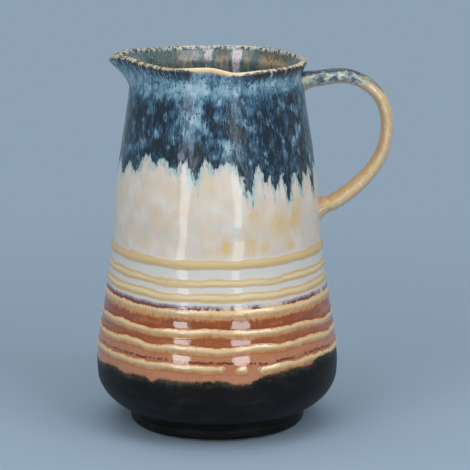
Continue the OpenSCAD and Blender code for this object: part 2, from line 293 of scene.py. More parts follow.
# Flats that a rib has pressed into it, and two swells between them, where the depth is below 0:
# angle, height, half width, half height, depth
PRESSES = [
    (254.8, 71.6, 12, 4.2, 0.86), (281.5, 71, 8, 3.8, 0.38), (254.4, 62.8, 7, 3.6, 0.3),
    (281, 62.4, 7.5, 3.5, 0.3), (254.6, 53.2, 6, 3, 0.2), (281, 52.4, 6, 3, 0.2),
    (253.8, 149, 8, 8, 0.3), (251, 128, 6, 9, -0.12), (258.5, 108, 8, 7, 0.3), (282, 151, 9, 9, 0.34),
    (282.5, 131, 7, 7, -0.16), (278.5, 117, 7, 6, 0.2), (288.5, 97, 8, 7, 0.42), (20, 70, 9, 4, 0.4),
    (60, 62, 7, 4, 0.25), (110, 71, 9, 4, 0.4), (150, 63, 7, 4, 0.25), (75, 130, 9, 10, 0.2),
    (130, 150, 9, 10, 0.2), (185, 120, 9, 9, 0.2),
]


def dents(x, y, z):
    """Soft unevenness of the thrown wall, for the most part inwards from its outline."""
    fade = ease(z, BLACK_TOP - DENT_SIZE, BLACK_TOP + DENT_SIZE) * ease(z, NECK_Z, TOP_Z)
    return -DENT * fade * (0.5 + noise.noise(Vector((x, y, 0.7 * z)) / DENT_SIZE))


@lru_cache(maxsize=None)
def press(s, angle):
    """Depth of the rib's flats at one place."""
    return spots(PRESSES, angle, s)


def drip_z(angle):
    """Height of the blue glaze's lower edge."""
    return CREAM_TOP - DRIP_H * drip_share(angle)


@lru_cache(maxsize=None)
def drip_slope(angle):
    """Steepness of the blue glaze's lower edge."""
    reach = 1
    rise = drip_z(angle + reach) - drip_z(angle - reach)
    return rise / (math.radians(2 * reach) * plain_r(CREAM_TOP))


# Upper edge of the black base coat: angle, height
BLACK_EDGE = [
    (15, 43.5), (45, 41), (80, 42.5), (115, 40), (150, 42), (180, 40), (197, 39), (212, 41.4),
    (222.5, 39.6), (228.5, 40.5), (235, 40.7), (238, 38.6), (243, 40.5), (251, 40.4), (262, 40.7),
    (273, 41.5), (278, 39.6), (284, 39.2), (289, 41), (293, 42.9), (300, 43.4), (308, 44.6),
    (320, 44.2), (325, 46.3), (331, 46.7), (345.5, 45.3),
]
# Sway of the cream glaze's stripes: angle, height
STRIPE_SWAY = [
    (30, 0.4), (100, -0.4), (170, 0.5), (215, 0.5), (245, -0.3), (270, 0), (300, -0.2), (320, 0.5),
    (345, 0.5),
]
# The maroon line where the amber glaze begins: its height, and its strength as angle, share
MAROON_Z = 80.2
MAROON_SHARES = [
    (10, 0.8), (40, 0.2), (70, 0.9), (110, 0.4), (150, 0.9), (180, 1), (205, 1.1), (246, 1),
    (262, 0.75), (272, 0.6), (279, 0.3), (285, 0.2), (291, 0.5), (298, 0.15), (306, 0.45),
    (313, 0.75), (320, 1), (327, 0.85), (335, 0.5), (345, 0.8),
]
# Tidiness of the glaze that breaks cream over the lip: angle, share
LIP_SHARES = [
    (20, 0.05), (60, 0.05), (75, 0.35), (100, 0.35), (120, 0.1), (150, 0), (190, 0), (225, 0.05),
    (246, 0.06), (252, 0.25), (258, 0.95), (266, 1), (277, 1), (284, 0.7), (294, 0.5), (304, 0.15),
    (320, 0.1), (345, 0.2),
]
# Olive and tan drapes inside, under the lip, and below 0 the painted reflections between them: angle,
# share
DRAPE_AND_GLINT_SHARES = [
    (5, 0.1), (20, 0.4), (30, 0.9), (42, 1), (54, 0.9), (58.5, 0), (62.5, 0), (66, 0.9), (69, 0.5),
    (73.5, -1), (77.5, -1), (81, 0.5), (86, 1), (90, 0.5), (95, -0.5), (99, -0.55), (104, 0.3),
    (110, 0.3), (119, 0.7), (126, 0.2), (140, 0), (180, 0.2), (220, 0.1), (250, 0.5), (290, 0.2),
    (330, 0.6),
]
black_edge = curve(BLACK_EDGE, turn=True)
stripe_sway = curve(STRIPE_SWAY, turn=True)
maroon_share = curve(MAROON_SHARES, turn=True)
lip_share = curve(LIP_SHARES, turn=True)
drape_and_glint_share = curve(DRAPE_AND_GLINT_SHARES, turn=True)

# Warm spots of the cream glaze: angle, height, half width, half height, strength
WARM_SPOTS = [
    (275, 113.4, 4.2, 4.4, 1.05), (224.5, 136.7, 4, 5.5, 0.3), (235, 130.7, 4, 5, 0.35),
    (228.8, 115, 7, 6, 0.35), (242.6, 124.7, 4, 7, 0.4), (249, 146, 3, 8, 0.4),
    (266.8, 120.3, 5, 4, 0.45), (266, 147.4, 6, 6, 0.4), (288.7, 114.5, 4.6, 7.5, 0.75),
    (297, 112, 4.6, 3.8, 0.65), (291.5, 129.4, 6, 6, 0.6), (306.2, 124, 7, 8.5, 0.75),
    (318.3, 125.7, 4.4, 6, 0.8), (321.6, 134, 5, 7, 0.5), (313, 111, 5, 4.4, 0.6),
    (267.4, 111.5, 4, 3, 0.5), (345, 118, 5, 5, 0.5), (20, 128, 5, 6, 0.5), (48, 116, 4, 4, 0.7),
    (75, 130, 6, 6, 0.4), (101, 117, 4, 5, 0.6), (133, 127, 5, 7, 0.4), (160, 115, 4, 4, 0.7),
    (192, 124, 5, 6, 0.5),
]
# Clouds of the blue glaze, lighter than the rest above 0, and at 276.5 a narrow painted highlight where
# the right strip lamp glints: angle, height, half width, half height, strength
BLUE_CLOUDS_AND_GLINTS = [
    (200, 184, 9, 7, -1), (228, 182, 8, 6, -0.7), (212, 172, 8, 8, -0.5), (258, 180, 3, 7, 2.6),
    (276.5, 165, 3, 8, 3.6), (260, 197, 9, 5, 1.2), (277, 197, 9, 4, 0.9), (243, 196, 9, 5, 0.5),
    (246, 182, 5, 5, 0.5), (253, 176, 4, 8, 0.6), (284, 178, 9, 7, -0.6), (301, 182, 9, 6, -0.5),
    (315, 172, 9, 9, -0.7), (322, 160, 4, 9, 0.6), (302, 160, 7, 7, -0.5), (238, 165, 9, 6, -0.6),
    (340, 172, 8, 8, -0.4), (15, 178, 9, 7, -0.6), (45, 168, 6, 8, 0.6), (75, 180, 9, 7, -0.7),
    (105, 170, 6, 9, 0.5), (135, 176, 9, 8, -0.7), (165, 168, 6, 8, 0.4),
]
# Mauve and brown tints of the blue glaze: the same columns
MAUVE_SPOTS = [
    (254, 162, 9, 8, 1), (329, 183, 3, 12, 0.9), (262, 158, 6, 5, 0.7), (284, 158, 7, 5, 0.7),
    (300, 176, 8, 5, 0.5), (190, 170, 6, 8, 0.5), (30, 165, 8, 8, 0.7), (85, 160, 8, 6, 0.7),
    (120, 181, 7, 6, 0.6), (155, 160, 7, 6, 0.7),
]


# Past so many of its half widths a soft spot is left out
SPOT_END = 2.2


def spots(table, angle, z):
    """Sum of the soft spots of a table at one place."""
    total = 0
    for middle, height, wide, tall, strength in table:
        if abs(z - height) < SPOT_END * tall:
            away = math.radians((angle - middle + 180) % 360 - 180) * plain_r(height)
            if abs(away) < SPOT_END * wide:
                total += strength * math.exp(-(away / wide) ** 2 - ((z - height) / tall) ** 2)
    return total


# The wall's section is followed up the outside, over the lip, down the inside and over the
# floor. A length s on it is the height on the outside, and runs on past the lip.
ARC_END = LIP_Z + math.pi * LIP_R
LIP_TOP = (LIP_Z + ARC_END) / 2
INNER_END = ARC_END + LIP_Z - BOWL_Z
BOWL_SPAN = 60
FLOOR_START = INNER_END + BOWL_SPAN
FLOOR_END = FLOOR_START + FLOOR_R


def inside_r(z):
    """Radius of the finished inside of the wall."""
    return plain_r(z) - mix(WALL_T, LIP_T, ease(z, NECK_Z - NECK_DROP, LIP_Z))


def inside_s(z):
    """Length on the section at a height of the inside."""
    return ARC_END + LIP_Z - z


@lru_cache(maxsize=None)
def section(s, depth):
    """Distance from the axis and height at length s, moved into the wall by depth."""
    if s <= LIP_Z:
        return plain_r(s) - depth, s
    if s <= ARC_END:
        turn = (s - LIP_Z) / LIP_R
        round_r = LIP_R - depth
        return RIM_R - LIP_R + round_r * math.cos(turn), LIP_Z + round_r * math.sin(turn)
    if s <= INNER_END:
        z = ARC_END + LIP_Z - s
        return inside_r(z) + depth, z
    if s <= FLOOR_START:
        turn = math.pi / 2 * (1 - (s - INNER_END) / BOWL_SPAN)
        return (
            mix(FLOOR_R, inside_r(BOWL_Z), math.sin(turn)) + depth * math.sin(turn),
            mix(BOWL_Z, FLOOR_Z + GLAZE_T, math.cos(turn)) - depth * math.cos(turn),
        )
    return FLOOR_END - s, FLOOR_Z + GLAZE_T - depth


def shaped(across, up, angle):
    """Pulls the spout and waves the rim."""
    pull = SPOUT_REACH * math.exp(-((angle - 180) / SPOUT_HALF) ** 2) * ease(up, TOP_Z, LIP_Z)
    lift = RIM_WAVE * rim_share(angle) * ease(up, TOP_Z, JUG_H)
    return across + pull, up + lift


def turned(across, up, angle):
    """Point at an angle round the axis."""
    turn = math.radians(angle)
    return Vector((across * math.cos(turn), across * math.sin(turn), up))


@lru_cache(maxsize=None)
def glaze_marks(s, angle):
    """The marks that the glazes are drawn by, besides the place on the wheel."""
    marks = {
        "below": LIP_TOP - s, "edge": 0, "crest": 0, "near": 0, "swell": 0, "soot": 0, "level": s,
        "maroon": 0, "warm": 0, "cloud": 0, "mauve": 0,
        "tidy": lip_share(angle), "drape": drape_and_glint_share(angle),
    }
    if s <= LIP_Z:
        _, swell, rise = relief(angle, s)
        marks.update({
            "edge": (s - drip_z(angle)) / math.hypot(1, drip_slope(angle)),
            "crest": rise,
            "near": abs(rise),
            "swell": swell,
            "soot": s - black_edge(angle),
            "level": s - stripe_sway(angle),
            "maroon": maroon_share(angle),
            "warm": spots(WARM_SPOTS, angle, s),
            "cloud": spots(BLUE_CLOUDS_AND_GLINTS, angle, s),
            "mauve": spots(MAUVE_SPOTS, angle, s),
        })
    return marks


def on_wall(s, depth, angle):
    """Place on the finished wall, and the place on the wheel that its glazes are drawn by."""
    across, up = section(s, depth)
    wheel = turned(across, up, angle)
    if s <= LIP_Z:
        over = max(0, s - drip_z(angle))
        across += relief(angle, s)[0] + dents(*wheel) - press(s, angle)
        # The blue coat is thick in its drips and thin again at the spout
        across += DRIP_T * ease(over, -1, 9) * (1 - ease(s, CREAM_TOP, TOP_Z))
    across, up = shaped(across, up, angle)
    return turned(across, up, angle), wheel


def glazed(s, depth, angle):
    """Place on the finished wall and all of its marks."""
    point, wheel = on_wall(s, depth, angle)
    return point, {"wheel": wheel, **glaze_marks(s, angle)}


def added(name, data):
    """New object in the scene."""
    item = bpy.data.objects.new(name, data)
    bpy.context.scene.collection.objects.link(item)
    return item


def finished(name, bm):
    """Object with the shape of a bmesh."""
    mesh = bpy.data.meshes.new(name)
    bm.to_mesh(mesh)
    bm.free()
    return added(name, mesh)


def thrown(name, rows, place, columns=COLUMNS, closed=True):
    """Wraps a grid of rows round the axis and moves each vertex to its place.

    Each row is a pair: a function of the angle that gives the length on the section, and a depth.
    """
    bm = bmesh.new()
    first_length, first_depth = rows[0]
    _, marks = place(first_length(0), first_depth, 0)
    kinds = bm.verts.layers
    layers = {
        mark: (kinds.float_vector if isinstance(value, Vector) else kinds.float).new(mark)
        for mark, value in marks.items()
    }
    # The grid's last column lies on the first and, where it is closed, its last row too
    spans = len(rows) - (0 if closed else 1)
    bmesh.ops.create_grid(bm, x_segments=columns, y_segments=spans, size=0.5)
    for vert in bm.verts:
        column = round((vert.co.x + 0.5) * columns) % columns
        length, depth = rows[round((vert.co.y + 0.5) * spans) % len(rows)]
        angle = 360 * column / columns
        point, marks = place(length(angle), depth, angle)
        vert.co = point * MM
        for mark, value in marks.items():
            vert[layers[mark]] = value
    bmesh.ops.remove_doubles(bm, verts=bm.verts, dist=WELD_GAP * MM)
    bmesh.ops.recalc_face_normals(bm, faces=bm.faces)
    for face in bm.faces:
        face.smooth = True
    for edge in bm.edges:
        edge.smooth = edge.calc_face_angle(0) < SHARP_ANGLE
    return finished(name, bm)


def level(s):
    """Row at the same length all round."""
    return lambda angle: s


def levels(start, *spans):
    """Level rows from start on; a span is where it ends and how far its rows may lie apart."""
    rows = [level(start)]
    for end, apart in spans:
        rows += [level(s) for s in steps(start, end, apart)[1:]]
        start = end
    return rows


def between(low, high, share):
    """Row at a share of the way between two edges."""
    return lambda angle: mix(low(angle), high(angle), share)


def skin(lengths, coarse):
    """Closed rows of a coat of glaze: every row outside, and one in coarse of them on the clay."""
    last = len(lengths) - 1
    inner = [length for i, length in enumerate(lengths) if i % coarse == 0 or i == last]
    return [(length, 0) for length in lengths] + [(length, GLAZE_T) for length in reversed(inner)]


def clay_body():
    """The thrown clay under its glazes, bare at the foot."""
    wall = levels(
        0, (FOOT_ROUND, 0.4), (FOOT_H + 2, 0.4), (BELLY_Z, 1.5), (CREAM_TOP, 1), (LIP_Z, 2),
        (ARC_END, 1), (INNER_END, 4), (FLOOR_START, 5), (FLOOR_END, 8),
    )
    # The turned underside is a second section, from the axis out to the foot ring
    underside = [(0, RECESS_H), (RECESS_R / 2, RECESS_H), (RECESS_R - RECESS_H, RECESS_H)]
    underside += [
        (RECESS_R - RECESS_H * math.cos(turn), RECESS_H * (1 - math.sin(turn)))
        for turn in steps(math.pi / 2, 0.2, 0.2)[1:]
    ]
    underside += [(RECESS_R + 0.6, 0), (mix(RECESS_R, FOOT_R - FOOT_ROUND - GLAZE_T, 0.5), 0)]
    rows = [(level(-1 - i), 0) for i in range(len(underside))] + [(row, GLAZE_T) for row in wall]

    def place(s, depth, angle):
        if s < 0:
            across, up = underside[round(-1 - s)]
            return turned(across, up, angle), {"wheel": turned(across, up, angle)}
        point, wheel = on_wall(s, depth, angle)
        return point, {"wheel": wheel}

    return thrown("clay_body", rows, place, COLUMNS // 2, closed=False)


def liner_coat():
    """Coat of the inside, from under the blue to the middle of the floor."""
    lengths = levels(inside_s(BLUE_INSIDE_Z), (INNER_END, 2), (FLOOR_START, 4), (FLOOR_END, 5))
    return thrown("liner_coat", skin(lengths, 3), glazed)


def blue_coat():
    """Coat that runs down the neck in drips and a little way inside over the lip."""
    lengths = [between(drip_z, level(CREAM_TOP), t) for t in steps(0, 1, 0.03)]
    lengths += levels(
        CREAM_TOP, (TOP_Z, 1.2), (LIP_Z, 0.9), (ARC_END, 0.5), (inside_s(BLUE_INSIDE_Z), 1.1),
    )[1:]
    return thrown("blue_coat", skin(lengths, 4), glazed)


def cream_coat():
    """Coat of the shoulder with its ripples."""
    ripple_end = RINGS[-1].z + 5
    lengths = levels(AMBER_TOP, (ripple_end, 0.55), (CREAM_TOP, 1.2))

    def place(s, depth, angle):
        # Above the drips' edge the cream lies sunk under the blue
        if depth == 0:
            depth = GLAZE_T / 2 * ease(s, drip_z(angle) - 0.5, drip_z(angle) + 1.5)
        return glazed(s, depth, angle)

    return thrown("cream_coat", skin(lengths, 4), place)


def amber_coat():
    """Coat of the belly with its raised rings."""
    lengths = [between(black_edge, level(AMBER_TOP), t) for t in steps(0, 1, 1 / 92)]
    return thrown("amber_coat", skin(lengths, 5), glazed)


def black_coat():
    """Coat of the base, down to the bare edge of the foot."""
    low = BELLY_Z - 4
    lengths = levels(BARE_H, (FOOT_ROUND, 0.4), (FOOT_H + 2, 0.3), (low, 1))
    lengths += [between(level(low), black_edge, t) for t in steps(0, 1, 0.08)[1:]]
    return thrown("black_coat", skin(lengths, 3), glazed)


# Middle line of the strap, from the upper wad to the lower one
root_r = plain_r(TOP_ROOT_Z)
root_span = TOP_ROOT_Z - LOW_ROOT_Z
strap_line = [
    (root_r + WAD_L, TOP_ROOT_Z + TOP_RISE),
    *((root_r + HANDLE_REACH * x, LOW_ROOT_Z + root_span * z) for x, z in STRAP_SHARES),
    (plain_r(LOW_ROOT_Z) + WAD_L * math.cos(LOW_SLOPE), LOW_ROOT_Z + WAD_L * math.sin(LOW_SLOPE)),
]
line_end = len(strap_line) - 1
strap_x = curve([(i / line_end, x) for i, (x, _) in enumerate(strap_line)])
strap_z = curve([(i / line_end, z) for i, (_, z) in enumerate(strap_line)])
strap_size = curve(STRAP_SIZE_SHARES)


@lru_cache(maxsize=None)
def strap_dir(share):
    """Direction of the strap's middle line."""
    nudge = 0.005
    low, high = max(0, share - nudge), min(1, share + nudge)
    return Vector((strap_x(high) - strap_x(low), 0, strap_z(high) - strap_z(low))).normalized()


def on_strap(share, depth, turn):
    """Point on the oval section of the strap."""
    along = strap_dir(share)
    thick = (STRAP_T / 2 * strap_size(share) - depth) * math.cos(turn)
    wide = (STRAP_W / 2 - depth) * math.sin(turn)
    return Vector((strap_x(share) - along.z * thick, wide, strap_z(share) + along.x * thick))


def on_seat(low, depth, turn):
    """Point on the edge of a wad, where it spreads on the wall."""
    half = STRAP_T / 2 * strap_size(1 if low else 0) / (math.cos(LOW_SLOPE) if low else 1) + WAD_FLARE
    y = (STRAP_W / 2 + WAD_FLARE - depth) * math.sin(turn)
    z = (LOW_ROOT_Z if low else TOP_ROOT_Z) + (-1 if low else 1) * (half - depth) * math.cos(turn)
    return Vector((math.sqrt((plain_r(z) - GLAZE_T / 2) ** 2 - y * y), y, z))


def handle_coat():
    """Glaze of the handle: rows -1 to 0 on the upper wad, to 1 on the strap, to 2 on the lower wad."""
    lengths = levels(-1, (0, 1 / WAD_ROWS), (1, 1 / STRAP_ROWS), (2, 1 / WAD_ROWS))

    def place(s, depth, angle):
        turn = -math.radians(angle)
        share = min(1, max(0, s))
        point = on_strap(share, depth, turn)
        if share != s:
            low = s > 1
            t = 1 - (s - 1 if low else -s)
            seat = on_seat(low, depth, turn)
            # The wads run out to the wall in a hollow curve
            rest = 1 - (1 - t) ** 2
            point = Vector((
                mix(seat.x, point.x, t), mix(seat.y, point.y, rest), mix(seat.z, point.z, rest),
            ))
        face = math.cos(turn)
        return point, {
            "wheel": Vector((
                face * STRAP_T / 2, math.sin(turn) * STRAP_W / 2,
                share * STRAP_LENGTH + (s - share) * WAD_L,
            )),
            "along": s,
            "face": face,
        }

    return thrown("handle_coat", skin(lengths, 3), place, STRAP_COLUMNS)


class Wire:
    """The output of a node. Arithmetic on it adds Math nodes to its finish."""

    def __init__(self, finish, socket):
        self.finish = finish
        self.socket = socket

    def math(self, operation, first, second):
        return self.finish.node("Math", {"operation": operation}, {0: first, 1: second})

    def __add__(self, other):
        return self.math("ADD", self, other)

    __radd__ = __add__

    def __sub__(self, other):
        return self.math("SUBTRACT", self, other)

    def __rsub__(self, other):
        return self.math("SUBTRACT", other, self)

    def __mul__(self, other):
        return self.math("MULTIPLY", self, other)

    __rmul__ = __mul__

    def max(self, other):
        return self.math("MAXIMUM", self, other)

    def min(self, other):
        return self.math("MINIMUM", self, other)


def rgb(red, green, blue):
    """Colour as a screen shows it, from 0 to 255, made linear."""
    def linear(v):
        v /= 255
        return v / 12.92 if v < 0.04045 else ((v + 0.055) / 1.055) ** 2.4
    return (linear(red), linear(green), linear(blue), 1)


# Share that each finer layer of the grain keeps of the one before
GRAIN_KEEP = 0.55


class Finish:
    """A material and the nodes that draw it."""

    def __init__(self, name):
        self.material = bpy.data.materials.new(name)
        self.material.use_nodes = True
        self.tree = self.material.node_tree
        self.tree.nodes.clear()

    def node(self, kind, settings, sockets, output=0):
        """Adds a node: its settings first, then the values or links of its sockets."""
        node = self.tree.nodes.new("ShaderNode" + kind)
        for name, value in settings.items():
            if name == "stops":
                elements = node.color_ramp.elements
                while len(elements) < len(value):
                    elements.new(1)
                for element, (position, colour) in zip(elements, value):
                    element.position = position
                    element.color = colour
            else:
                setattr(node, name, value)
        for name, value in sockets.items():
            if isinstance(value, Wire):
                self.tree.links.new(value.socket, node.inputs[name])
            else:
                node.inputs[name].default_value = value
        return Wire(self, node.outputs[output]) if node.outputs else None

    def mark(self, name):
        """A mark that the mesh carries."""
        return self.node("Attribute", {"attribute_name": name}, {}, "Vector" if name == "wheel" else "Fac")

    def smooth(self, value, low, high):
        """Soft step from 0 at low to 1 at high."""
        return self.node("MapRange", {"interpolation_type": "SMOOTHSTEP"}, {
            "Value": value, "From Min": low, "From Max": high,
        })

    def window(self, value, low, high, soft):
        """1 between low and high, with soft ends."""
        return self.smooth(value, low - soft, low + soft) * self.smooth(value, high + soft, high - soft)

    def place(self, wide, tall, seed):
        """Place on the wheel, counted in marks so wide and tall."""
        return self.node("VectorMath", {"operation": "MULTIPLY_ADD"}, {
            0: self.mark("wheel"), 1: (1 / wide, 1 / wide, 1 / tall), 2: (seed, seed / 2, -seed),
        })

    def grain(self, wide, tall, detail, seed):
        """Noise about 0, with marks so many millimetres wide and tall."""
        return self.node("TexNoise", {}, {
            "Vector": self.place(wide, tall, seed), "Scale": 1, "Detail": detail,
            "Roughness": GRAIN_KEEP,
        }) - 0.5

    def rays(self, wide, detail, seed):
        """Noise about 0 in bars that run straight down and over the lip, so many millimetres wide."""
        flat = self.node("VectorMath", {"operation": "MULTIPLY"}, {0: self.mark("wheel"), 1: (1, 1, 0)})
        round_jug = self.node("VectorMath", {"operation": "NORMALIZE"}, {0: flat})
        place = self.node("VectorMath", {"operation": "MULTIPLY_ADD"}, {
            0: round_jug, 1: (RIM_R / wide, RIM_R / wide, 0), 2: (seed, seed / 2, -seed),
        })
        return self.node("TexNoise", {}, {"Vector": place, "Scale": 1, "Detail": detail}) - 0.5

    def specks(self, wide, tall, size, seed):
        """1 in small scattered specks; size is a share of their spacing."""
        near = self.node("TexVoronoi", {}, {"Vector": self.place(wide, tall, seed), "Scale": 1})
        return self.smooth(near, size, size / 2)

    def ramp(self, value, table):
        """Colour from a table of values and colours."""
        low, high = table[0][0], table[-1][0]
        share = self.node("MapRange", {}, {"Value": value, "From Min": low, "From Max": high})
        stops = [((v - low) / (high - low), colour) for v, colour in table]
        return self.node("ValToRGB", {"stops": stops}, {"Fac": share})

    def dye(self, under, over, mask):
        """Colour over another one, where the mask is 1."""
        return self.node("Mix", {"data_type": "RGBA"}, {0: mask, 6: under, 7: over}, 2)

    def blend(self, under, over, mask):
        """One glaze over another: colour, roughness and relief."""
        return Glaze(
            self.dye(under.colour, over.colour, mask),
            under.rough + (over.rough - under.rough) * mask,
            under.height + (over.height - under.height) * mask,
        )

    def glass(self, glaze, shine):
        """Surface of a fired glaze with a fine relief, in millimetres."""
        normal = self.node("Bump", {}, {"Strength": 1, "Distance": MM, "Height": glaze.height})
        return self.node("BsdfPrincipled", {}, {
            "Base Color": glaze.colour, "Roughness": glaze.rough, "IOR": GLASS_IOR,
            "Specular IOR Level": shine, "Normal": normal,
        })

    def close(self, surface):
        """Ends the material in a surface."""
        self.node("OutputMaterial", {}, {"Surface": surface})
        return self.material

    def fire(self, glaze, shine):
        """Ends the material in one glaze."""
        return self.close(self.glass(glaze, shine))


Glaze = namedtuple("Glaze", "colour rough height")


# Colours of the glazes, some of them used for painted shade and painted reflections
PITCH = rgb(32, 47, 58)
INK = rgb(44, 66, 84)
NAVY = rgb(56, 84, 108)
STEEL = rgb(80, 118, 144)
SKY = rgb(112, 152, 172)
MIST = rgb(146, 178, 194)
FROST = rgb(186, 198, 216)
LILAC = rgb(146, 142, 164)
TEAL = rgb(52, 100, 116)
MAUVE = rgb(88, 80, 92)
UMBER = rgb(46, 42, 46)
FOAM = rgb(168, 196, 200)
LIP_CREAM = rgb(222, 214, 188)
LIP_TAN = rgb(206, 182, 140)
LIP_DARK = rgb(46, 42, 42)
LIP_GAP = rgb(74, 70, 62)
LIP_OLIVE = rgb(158, 150, 122)
BROWN = rgb(84, 68, 52)
CREAM = rgb(213, 203, 190)
PALE = rgb(216, 212, 204)
ASH = rgb(202, 198, 189)
BLUSH = rgb(216, 195, 174)
HONEY = rgb(213, 184, 132)
STRIPE_WHITE = rgb(208, 208, 204)
STRIPE_LILAC = rgb(203, 199, 197)
STRIPE_PALE = rgb(218, 200, 164)
STRIPE_TAN = rgb(204, 176, 130)
STRIPE_GOLD = rgb(208, 184, 138)
MAROON = rgb(108, 44, 42)
VIOLET = rgb(112, 98, 130)
RUST = rgb(142, 72, 34)
SIENNA = rgb(152, 82, 46)
SALMON = rgb(184, 124, 88)
CREST = rgb(210, 172, 120)
CREST_LIGHT = rgb(217, 190, 146)
CREST_TAN = rgb(204, 146, 86)
CREST_LOW = rgb(184, 110, 58)
CARAMEL = rgb(170, 98, 42)
OXBLOOD_AND_SHADOW = rgb(108, 42, 26)
COAL = rgb(19, 19, 20)
SLATE = rgb(36, 36, 36)
OLIVE = rgb(80, 73, 60)
SEA = rgb(98, 120, 126)
SEA_DARK = rgb(50, 72, 86)
SEA_LIGHT = rgb(154, 168, 162)
DRAPE = rgb(178, 160, 128)
LAVENDER_REFLECTION = rgb(212, 206, 216)
STRAP_HONEY = rgb(207, 182, 142)
STRAP_PALE = rgb(219, 203, 172)
STRAP_SHADE_TAN = rgb(202, 164, 118)
STRAP_GREY = rgb(98, 116, 128)
STRAP_SPOT = rgb(202, 196, 172)
BARE_CLAY = rgb(226, 214, 198)
CLAY_DARK = rgb(160, 142, 122)
FLOOR = rgb(143, 167, 191)
BACKDROP = rgb(142, 162, 179)
AIR = rgb(168, 165, 160)

# Gloss of the glazes and the floor, as roughness
GLOSSY = 0.06
FLOWING = 0.2
BREAKING = 0.42
SATIN = 0.42
MATT = 0.8
LINER_GLOSS = 0.13
STRAP_GLOSS = 0.1
FLOOR_MATT = 0.9
# Strength of the mirror gloss
PLAIN_SHINE = 0.5
BLACK_SHINE = 0.14
PALE_SHINE = 0.34
AMBER_SHINE = 0.95
FLOOR_SHINE = 0.2
GLASS_IOR = 1.52
# Marks to the metre in the bare clay's clouds and grit
CLAY_CLOUDS = 90
CLAY_GRIT = 900


def blue_field(f):
    """Blue glaze: flakes of pale blue that run down through navy and near black."""
    below = f.mark("below")
    cloud = f.mark("cloud")
    slow = f.grain(8, 11, 2, 1)
    flames = f.grain(3.1, 6.6, 2, 2)
    flecks = f.grain(1.2, 2.8, 2, 3)
    hairs = f.grain(0.8, 12, 2, 4)
    flakes = f.specks(5, 7, 0.5, 8) * f.smooth(flecks + hairs, -0.14, 0.04)
    belt = f.smooth(below, 2.2, 4.4) * f.smooth(below + flames * 26 + hairs * 16, 19, 11)
    # The clouds lighten the glaze in places, and at one place paint the right strip lamp's highlight
    value = 0.33 + slow * 1.5 + flames * 1.25 + flecks * 0.8 + hairs * 1.1 + cloud * 0.27
    value = value + belt * 0.56 + flakes * 0.3
    colour = f.ramp(value, [
        (0, PITCH), (0.14, PITCH), (0.3, INK), (0.46, NAVY), (0.66, STEEL), (0.9, SKY), (1.2, MIST),
        (1.7, FROST),
    ])
    tint = f.mark("mauve") * 0.8 + f.grain(6, 10, 2, 5) * 1.2 - 0.16
    brown = f.ramp(value, [(0.2, UMBER), (0.5, MAUVE), (1, LILAC)])
    colour = f.dye(colour, brown, f.smooth(tint, 0.1, 0.7) * 0.6)
    green = f.smooth(f.grain(3, 6, 2, 6) + flecks * 0.5, 0.06, 0.2) * f.smooth(value, 0.3, 0.6)
    colour = f.dye(colour, TEAL, green * 0.45)
    colour = f.dye(colour, PITCH, f.specks(2.3, 3.1, 0.27, 7) * 0.85)
    return Glaze(colour, FLOWING, flames * 0.2 + flecks * 0.1)


def cream_field(f):
    """Cream glaze with warm spots and, low down, tan and white stripes."""
    slow = f.grain(11, 13, 1, 11)
    mottle = f.grain(3.6, 5, 2, 12)
    colour = f.dye(CREAM, PALE, f.smooth(slow + mottle * 0.3, -0.08, 0.22))
    colour = f.dye(colour, ASH, f.smooth(slow * -1 + mottle * 0.3, -0.05, 0.25) * 0.8)
    colour = f.dye(colour, BLUSH, f.smooth(f.grain(7, 9, 1, 13) + mottle * 0.2, -0.02, 0.24) * 0.75)
    warm = f.mark("warm") + f.mark("warm") * mottle * 1.6
    colour = f.dye(colour, HONEY, f.smooth(warm, 0.04, 0.95))
    sway = f.grain(16, 11, 2, 14) * 3.4 + f.grain(3.4, 5, 2, 15) * 0.9
    height = f.mark("level") + sway
    stripes = f.ramp(height, [
        (80, STRIPE_LILAC), (82, STRIPE_LILAC), (83.1, STRIPE_WHITE), (83.7, STRIPE_TAN),
        (84.9, STRIPE_TAN), (85.7, STRIPE_PALE), (87.1, STRIPE_PALE), (87.6, STRIPE_TAN),
        (88.2, STRIPE_TAN), (88.8, STRIPE_WHITE), (91.3, STRIPE_WHITE), (91.9, STRIPE_TAN),
        (92.7, STRIPE_TAN), (93.3, STRIPE_PALE), (94.8, STRIPE_PALE), (95.3, STRIPE_TAN),
        (96.1, STRIPE_TAN), (96.7, STRIPE_WHITE), (101.1, STRIPE_WHITE), (101.8, STRIPE_TAN),
        (103, STRIPE_GOLD), (105.4, STRIPE_GOLD), (106.3, STRIPE_TAN), (107.2, STRIPE_WHITE),
        (108, STRIPE_WHITE),
    ])
    colour = f.dye(colour, stripes, f.smooth(height, 108, 107))
    matt = f.window(height, 101.5, 106.7, 0.2) + f.window(height, 91.7, 96.3, 0.2)
    matt = matt + f.window(height, 83.4, 88.4, 0.2)
    return Glaze(colour, GLOSSY + matt * (BREAKING - GLOSSY), mottle * 0.03)


def maroon_line(f, under):
    """Ragged violet and maroon line between the cream and the amber."""
    rise = f.mark("level") - MAROON_Z
    ragged = rise + f.grain(2.2, 40, 3, 21) * 2 + f.grain(9, 60, 2, 22) * 1.6
    strength = f.mark("maroon") + f.grain(3, 50, 3, 23) * 1.8
    froth = f.smooth(f.grain(0.8, 0.8, 2, 24) + strength * 0.2, 0, 0.16)
    foam = f.window(ragged, 0.3, 1.7, 0.4) * froth * f.smooth(strength, 0.1, 0.6) * 0.8
    line = f.blend(under, Glaze(VIOLET, GLOSSY, 0), foam)
    band = f.smooth(ragged, 0.9, 0.2) * f.smooth(ragged + strength * 0.7, -0.6, 0.1)
    return f.blend(line, Glaze(MAROON, GLOSSY, 0), band * f.smooth(strength, 0.35, 0.8) * 0.95)


